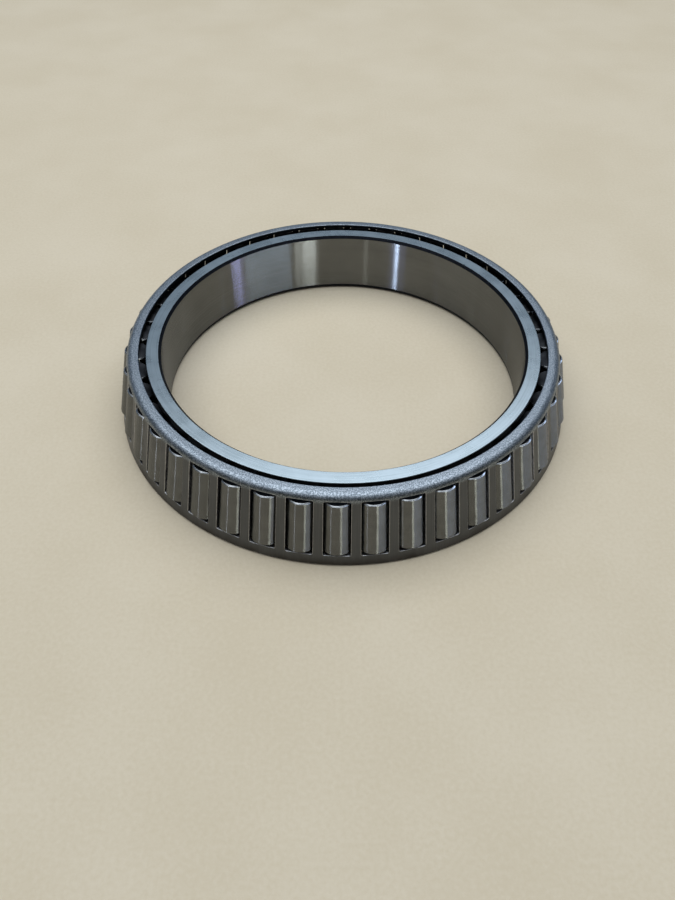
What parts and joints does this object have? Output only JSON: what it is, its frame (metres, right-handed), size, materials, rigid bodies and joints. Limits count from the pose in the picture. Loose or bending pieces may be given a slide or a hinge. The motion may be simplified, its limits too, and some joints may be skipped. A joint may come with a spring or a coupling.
{
  "type": "tapered roller bearing cone assembly",
  "caption": "Thin-section tapered roller bearing inner ring with a pressed steel cage full of tapered rollers, standing on its wide back face.",
  "frame": {"origin": "centre of the inner ring's back face, on the surface that the bearing stands on", "axes": "+Z along the bearing axis, from the large ends of the rollers to their small ends; +X through the middle of roller_01"},
  "size_m": [0.1854, 0.1854, 0.0298],
  "materials": {
    "ring_steel": "ground bearing steel",
    "cage_steel": "pressed steel, matt with a blasted shoulder",
    "roller_steel": "ground and polished bearing steel"
  },
  "bodies": {
    "ring_body": {"inner_ring": "ring_steel"},
    "cage_body": {"cage": "cage_steel"},
    "roller_01_body": {"roller_01": "roller_steel"},
    "roller_02_body": {"roller_02": "roller_steel"},
    "roller_03_body": {"roller_03": "roller_steel"},
    "roller_04_body": {"roller_04": "roller_steel"},
    "roller_05_body": {"roller_05": "roller_steel"},
    "roller_06_body": {"roller_06": "roller_steel"},
    "roller_07_body": {"roller_07": "roller_steel"},
    "roller_08_body": {"roller_08": "roller_steel"},
    "roller_09_body": {"roller_09": "roller_steel"},
    "roller_10_body": {"roller_10": "roller_steel"},
    "roller_11_body": {"roller_11": "roller_steel"},
    "roller_12_body": {"roller_12": "roller_steel"},
    "roller_13_body": {"roller_13": "roller_steel"},
    "roller_14_body": {"roller_14": "roller_steel"},
    "roller_15_body": {"roller_15": "roller_steel"},
    "roller_16_body": {"roller_16": "roller_steel"},
    "roller_17_body": {"roller_17": "roller_steel"},
    "roller_18_body": {"roller_18": "roller_steel"},
    "roller_19_body": {"roller_19": "roller_steel"},
    "roller_20_body": {"roller_20": "roller_steel"},
    "roller_21_body": {"roller_21": "roller_steel"},
    "roller_22_body": {"roller_22": "roller_steel"},
    "roller_23_body": {"roller_23": "roller_steel"},
    "roller_24_body": {"roller_24": "roller_steel"},
    "roller_25_body": {"roller_25": "roller_steel"},
    "roller_26_body": {"roller_26": "roller_steel"},
    "roller_27_body": {"roller_27": "roller_steel"},
    "roller_28_body": {"roller_28": "roller_steel"},
    "roller_29_body": {"roller_29": "roller_steel"},
    "roller_30_body": {"roller_30": "roller_steel"},
    "roller_31_body": {"roller_31": "roller_steel"},
    "roller_32_body": {"roller_32": "roller_steel"},
    "roller_33_body": {"roller_33": "roller_steel"},
    "roller_34_body": {"roller_34": "roller_steel"},
    "roller_35_body": {"roller_35": "roller_steel"},
    "roller_36_body": {"roller_36": "roller_steel"},
    "roller_37_body": {"roller_37": "roller_steel"},
    "roller_38_body": {"roller_38": "roller_steel"},
    "roller_39_body": {"roller_39": "roller_steel"},
    "roller_40_body": {"roller_40": "roller_steel"},
    "roller_41_body": {"roller_41": "roller_steel"},
    "roller_42_body": {"roller_42": "roller_steel"},
    "roller_43_body": {"roller_43": "roller_steel"}
  },
  "joints": [
    {"name": "cage_spin", "type": "hinge", "parent": "ring_body", "child": "cage_body", "pos_m": [0, 0, 0], "axis": [0, 0, 1], "continuous": true},
    {"name": "roller_01_spin", "type": "hinge", "parent": "cage_body", "child": "roller_01_body", "pos_m": [0.08481, 0, 0.01659], "axis": [-0.2261, 0, 0.9741], "continuous": true},
    {"name": "roller_02_spin", "type": "hinge", "parent": "cage_body", "child": "roller_02_body", "pos_m": [0.0839, 0.01235, 0.01659], "axis": [-0.2237, -0.0329, 0.9741], "continuous": true},
    {"name": "roller_03_spin", "type": "hinge", "parent": "cage_body", "child": "roller_03_body", "pos_m": [0.08121, 0.02443, 0.01659], "axis": [-0.2165, -0.0651, 0.9741], "continuous": true},
    {"name": "roller_04_spin", "type": "hinge", "parent": "cage_body", "child": "roller_04_body", "pos_m": [0.07679, 0.036, 0.01659], "axis": [-0.2047, -0.096, 0.9741], "continuous": true},
    {"name": "roller_05_spin", "type": "hinge", "parent": "cage_body", "child": "roller_05_body", "pos_m": [0.07073, 0.04679, 0.01659], "axis": [-0.1886, -0.1248, 0.9741], "continuous": true},
    {"name": "roller_06_spin", "type": "hinge", "parent": "cage_body", "child": "roller_06_body", "pos_m": [0.06316, 0.05659, 0.01659], "axis": [-0.1684, -0.1509, 0.9741], "continuous": true},
    {"name": "roller_07_spin", "type": "hinge", "parent": "cage_body", "child": "roller_07_body", "pos_m": [0.05425, 0.06519, 0.01659], "axis": [-0.1446, -0.1738, 0.9741], "continuous": true},
    {"name": "roller_08_spin", "type": "hinge", "parent": "cage_body", "child": "roller_08_body", "pos_m": [0.04418, 0.07239, 0.01659], "axis": [-0.1178, -0.193, 0.9741], "continuous": true},
    {"name": "roller_09_spin", "type": "hinge", "parent": "cage_body", "child": "roller_09_body", "pos_m": [0.03317, 0.07805, 0.01659], "axis": [-0.0884, -0.2081, 0.9741], "continuous": true},
    {"name": "roller_10_spin", "type": "hinge", "parent": "cage_body", "child": "roller_10_body", "pos_m": [0.02145, 0.08205, 0.01659], "axis": [-0.0572, -0.2188, 0.9741], "continuous": true},
    {"name": "roller_11_spin", "type": "hinge", "parent": "cage_body", "child": "roller_11_body", "pos_m": [0.00928, 0.0843, 0.01659], "axis": [-0.0247, -0.2248, 0.9741], "continuous": true},
    {"name": "roller_12_spin", "type": "hinge", "parent": "cage_body", "child": "roller_12_body", "pos_m": [-0.0031, 0.08475, 0.01659], "axis": [0.0083, -0.226, 0.9741], "continuous": true},
    {"name": "roller_13_spin", "type": "hinge", "parent": "cage_body", "child": "roller_13_body", "pos_m": [-0.0154, 0.0834, 0.01659], "axis": [0.0411, -0.2223, 0.9741], "continuous": true},
    {"name": "roller_14_spin", "type": "hinge", "parent": "cage_body", "child": "roller_14_body", "pos_m": [-0.02738, 0.08026, 0.01659], "axis": [0.073, -0.214, 0.9741], "continuous": true},
    {"name": "roller_15_spin", "type": "hinge", "parent": "cage_body", "child": "roller_15_body", "pos_m": [-0.03878, 0.07542, 0.01659], "axis": [0.1034, -0.2011, 0.9741], "continuous": true},
    {"name": "roller_16_spin", "type": "hinge", "parent": "cage_body", "child": "roller_16_body", "pos_m": [-0.04935, 0.06897, 0.01659], "axis": [0.1316, -0.1839, 0.9741], "continuous": true},
    {"name": "roller_17_spin", "type": "hinge", "parent": "cage_body", "child": "roller_17_body", "pos_m": [-0.05886, 0.06105, 0.01659], "axis": [0.1569, -0.1628, 0.9741], "continuous": true},
    {"name": "roller_18_spin", "type": "hinge", "parent": "cage_body", "child": "roller_18_body", "pos_m": [-0.06712, 0.05183, 0.01659], "axis": [0.179, -0.1382, 0.9741], "continuous": true},
    {"name": "roller_19_spin", "type": "hinge", "parent": "cage_body", "child": "roller_19_body", "pos_m": [-0.07396, 0.04151, 0.01659], "axis": [0.1972, -0.1107, 0.9741], "continuous": true},
    {"name": "roller_20_spin", "type": "hinge", "parent": "cage_body", "child": "roller_20_body", "pos_m": [-0.07921, 0.0303, 0.01659], "axis": [0.2112, -0.0808, 0.9741], "continuous": true},
    {"name": "roller_21_spin", "type": "hinge", "parent": "cage_body", "child": "roller_21_body", "pos_m": [-0.08278, 0.01844, 0.01659], "axis": [0.2207, -0.0492, 0.9741], "continuous": true},
    {"name": "roller_22_spin", "type": "hinge", "parent": "cage_body", "child": "roller_22_body", "pos_m": [-0.08458, 0.00619, 0.01659], "axis": [0.2255, -0.0165, 0.9741], "continuous": true},
    {"name": "roller_23_spin", "type": "hinge", "parent": "cage_body", "child": "roller_23_body", "pos_m": [-0.08458, -0.00619, 0.01659], "axis": [0.2255, 0.0165, 0.9741], "continuous": true},
    {"name": "roller_24_spin", "type": "hinge", "parent": "cage_body", "child": "roller_24_body", "pos_m": [-0.08278, -0.01844, 0.01659], "axis": [0.2207, 0.0492, 0.9741], "continuous": true},
    {"name": "roller_25_spin", "type": "hinge", "parent": "cage_body", "child": "roller_25_body", "pos_m": [-0.07921, -0.0303, 0.01659], "axis": [0.2112, 0.0808, 0.9741], "continuous": true},
    {"name": "roller_26_spin", "type": "hinge", "parent": "cage_body", "child": "roller_26_body", "pos_m": [-0.07396, -0.04151, 0.01659], "axis": [0.1972, 0.1107, 0.9741], "continuous": true},
    {"name": "roller_27_spin", "type": "hinge", "parent": "cage_body", "child": "roller_27_body", "pos_m": [-0.06712, -0.05183, 0.01659], "axis": [0.179, 0.1382, 0.9741], "continuous": true},
    {"name": "roller_28_spin", "type": "hinge", "parent": "cage_body", "child": "roller_28_body", "pos_m": [-0.05886, -0.06105, 0.01659], "axis": [0.1569, 0.1628, 0.9741], "continuous": true},
    {"name": "roller_29_spin", "type": "hinge", "parent": "cage_body", "child": "roller_29_body", "pos_m": [-0.04935, -0.06897, 0.01659], "axis": [0.1316, 0.1839, 0.9741], "continuous": true},
    {"name": "roller_30_spin", "type": "hinge", "parent": "cage_body", "child": "roller_30_body", "pos_m": [-0.03878, -0.07542, 0.01659], "axis": [0.1034, 0.2011, 0.9741], "continuous": true},
    {"name": "roller_31_spin", "type": "hinge", "parent": "cage_body", "child": "roller_31_body", "pos_m": [-0.02738, -0.08026, 0.01659], "axis": [0.073, 0.214, 0.9741], "continuous": true},
    {"name": "roller_32_spin", "type": "hinge", "parent": "cage_body", "child": "roller_32_body", "pos_m": [-0.0154, -0.0834, 0.01659], "axis": [0.0411, 0.2223, 0.9741], "continuous": true},
    {"name": "roller_33_spin", "type": "hinge", "parent": "cage_body", "child": "roller_33_body", "pos_m": [-0.0031, -0.08475, 0.01659], "axis": [0.0083, 0.226, 0.9741], "continuous": true},
    {"name": "roller_34_spin", "type": "hinge", "parent": "cage_body", "child": "roller_34_body", "pos_m": [0.00928, -0.0843, 0.01659], "axis": [-0.0247, 0.2248, 0.9741], "continuous": true},
    {"name": "roller_35_spin", "type": "hinge", "parent": "cage_body", "child": "roller_35_body", "pos_m": [0.02145, -0.08205, 0.01659], "axis": [-0.0572, 0.2188, 0.9741], "continuous": true},
    {"name": "roller_36_spin", "type": "hinge", "parent": "cage_body", "child": "roller_36_body", "pos_m": [0.03317, -0.07805, 0.01659], "axis": [-0.0884, 0.2081, 0.9741], "continuous": true},
    {"name": "roller_37_spin", "type": "hinge", "parent": "cage_body", "child": "roller_37_body", "pos_m": [0.04418, -0.07239, 0.01659], "axis": [-0.1178, 0.193, 0.9741], "continuous": true},
    {"name": "roller_38_spin", "type": "hinge", "parent": "cage_body", "child": "roller_38_body", "pos_m": [0.05425, -0.06519, 0.01659], "axis": [-0.1446, 0.1738, 0.9741], "continuous": true},
    {"name": "roller_39_spin", "type": "hinge", "parent": "cage_body", "child": "roller_39_body", "pos_m": [0.06316, -0.05659, 0.01659], "axis": [-0.1684, 0.1509, 0.9741], "continuous": true},
    {"name": "roller_40_spin", "type": "hinge", "parent": "cage_body", "child": "roller_40_body", "pos_m": [0.07073, -0.04679, 0.01659], "axis": [-0.1886, 0.1248, 0.9741], "continuous": true},
    {"name": "roller_41_spin", "type": "hinge", "parent": "cage_body", "child": "roller_41_body", "pos_m": [0.07679, -0.036, 0.01659], "axis": [-0.2047, 0.096, 0.9741], "continuous": true},
    {"name": "roller_42_spin", "type": "hinge", "parent": "cage_body", "child": "roller_42_body", "pos_m": [0.08121, -0.02443, 0.01659], "axis": [-0.2165, 0.0651, 0.9741], "continuous": true},
    {"name": "roller_43_spin", "type": "hinge", "parent": "cage_body", "child": "roller_43_body", "pos_m": [0.0839, -0.01235, 0.01659], "axis": [-0.2237, 0.0329, 0.9741], "continuous": true}
  ],
  "couplings": [
    {"joint": "roller_01_spin", "follows": "cage_spin", "ratio": 15.179},
    {"joint": "roller_02_spin", "follows": "cage_spin", "ratio": 15.179},
    {"joint": "roller_03_spin", "follows": "cage_spin", "ratio": 15.179},
    {"joint": "roller_04_spin", "follows": "cage_spin", "ratio": 15.179},
    {"joint": "roller_05_spin", "follows": "cage_spin", "ratio": 15.179},
    {"joint": "roller_06_spin", "follows": "cage_spin", "ratio": 15.179},
    {"joint": "roller_07_spin", "follows": "cage_spin", "ratio": 15.179},
    {"joint": "roller_08_spin", "follows": "cage_spin", "ratio": 15.179},
    {"joint": "roller_09_spin", "follows": "cage_spin", "ratio": 15.179},
    {"joint": "roller_10_spin", "follows": "cage_spin", "ratio": 15.179},
    {"joint": "roller_11_spin", "follows": "cage_spin", "ratio": 15.179},
    {"joint": "roller_12_spin", "follows": "cage_spin", "ratio": 15.179},
    {"joint": "roller_13_spin", "follows": "cage_spin", "ratio": 15.179},
    {"joint": "roller_14_spin", "follows": "cage_spin", "ratio": 15.179},
    {"joint": "roller_15_spin", "follows": "cage_spin", "ratio": 15.179},
    {"joint": "roller_16_spin", "follows": "cage_spin", "ratio": 15.179},
    {"joint": "roller_17_spin", "follows": "cage_spin", "ratio": 15.179},
    {"joint": "roller_18_spin", "follows": "cage_spin", "ratio": 15.179},
    {"joint": "roller_19_spin", "follows": "cage_spin", "ratio": 15.179},
    {"joint": "roller_20_spin", "follows": "cage_spin", "ratio": 15.179},
    {"joint": "roller_21_spin", "follows": "cage_spin", "ratio": 15.179},
    {"joint": "roller_22_spin", "follows": "cage_spin", "ratio": 15.179},
    {"joint": "roller_23_spin", "follows": "cage_spin", "ratio": 15.179},
    {"joint": "roller_24_spin", "follows": "cage_spin", "ratio": 15.179},
    {"joint": "roller_25_spin", "follows": "cage_spin", "ratio": 15.179},
    {"joint": "roller_26_spin", "follows": "cage_spin", "ratio": 15.179},
    {"joint": "roller_27_spin", "follows": "cage_spin", "ratio": 15.179},
    {"joint": "roller_28_spin", "follows": "cage_spin", "ratio": 15.179},
    {"joint": "roller_29_spin", "follows": "cage_spin", "ratio": 15.179},
    {"joint": "roller_30_spin", "follows": "cage_spin", "ratio": 15.179},
    {"joint": "roller_31_spin", "follows": "cage_spin", "ratio": 15.179},
    {"joint": "roller_32_spin", "follows": "cage_spin", "ratio": 15.179},
    {"joint": "roller_33_spin", "follows": "cage_spin", "ratio": 15.179},
    {"joint": "roller_34_spin", "follows": "cage_spin", "ratio": 15.179},
    {"joint": "roller_35_spin", "follows": "cage_spin", "ratio": 15.179},
    {"joint": "roller_36_spin", "follows": "cage_spin", "ratio": 15.179},
    {"joint": "roller_37_spin", "follows": "cage_spin", "ratio": 15.179},
    {"joint": "roller_38_spin", "follows": "cage_spin", "ratio": 15.179},
    {"joint": "roller_39_spin", "follows": "cage_spin", "ratio": 15.179},
    {"joint": "roller_40_spin", "follows": "cage_spin", "ratio": 15.179},
    {"joint": "roller_41_spin", "follows": "cage_spin", "ratio": 15.179},
    {"joint": "roller_42_spin", "follows": "cage_spin", "ratio": 15.179},
    {"joint": "roller_43_spin", "follows": "cage_spin", "ratio": 15.179}
  ]
}
